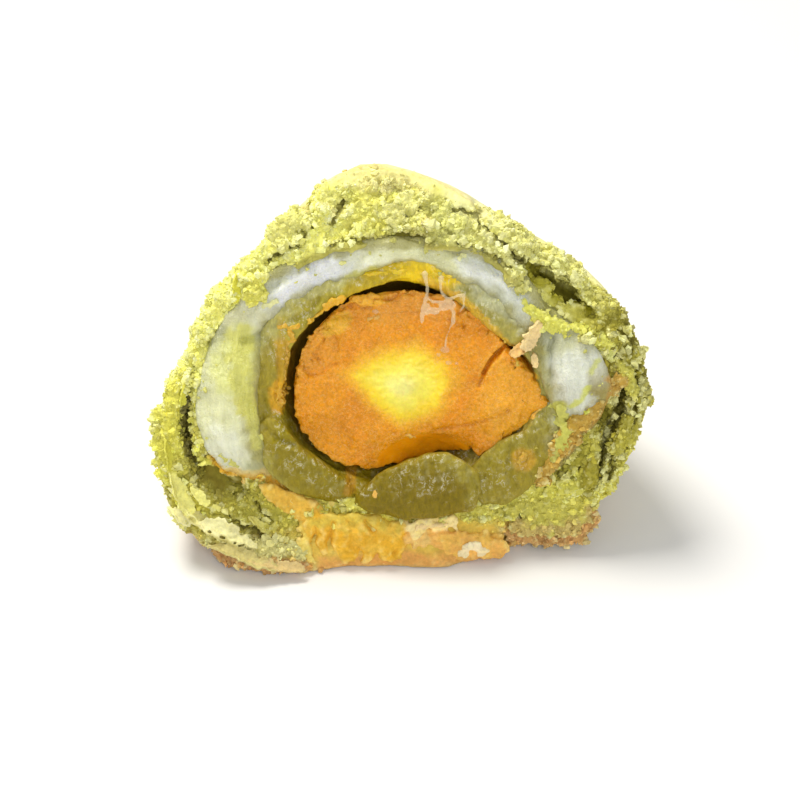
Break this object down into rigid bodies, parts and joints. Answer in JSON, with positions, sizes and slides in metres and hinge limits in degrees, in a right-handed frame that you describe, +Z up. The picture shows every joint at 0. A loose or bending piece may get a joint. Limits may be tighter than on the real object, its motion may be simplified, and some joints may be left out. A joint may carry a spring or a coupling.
{
  "type": "egg yolk pastry",
  "caption": "Torn-open half of a round filled pastry: green crumbly crust around soft mochi, bean paste and a salted egg yolk, resting on its flat baked base.",
  "frame": {"origin": "under the middle of the half's footprint, at the flat baked base", "axes": "+Z up; -Y towards whoever looks at the torn face; +X to the right of the torn face"},
  "size_m": [0.0546, 0.037, 0.0403],
  "materials": {
    "crust": "matte, dry and crumbly baked green tea dough",
    "mochi": "soft, slightly translucent glutinous rice dough with a damp sheen",
    "paste": "dense olive-green bean paste, satin and slightly oily",
    "yolk": "granular orange salted egg yolk with a bright yellow core"
  },
  "bodies": {
    "root": {"pastry_crust": "crust", "mochi_skin": "mochi", "bean_paste": "paste", "salted_yolk": "yolk"}
  },
  "joints": []
}
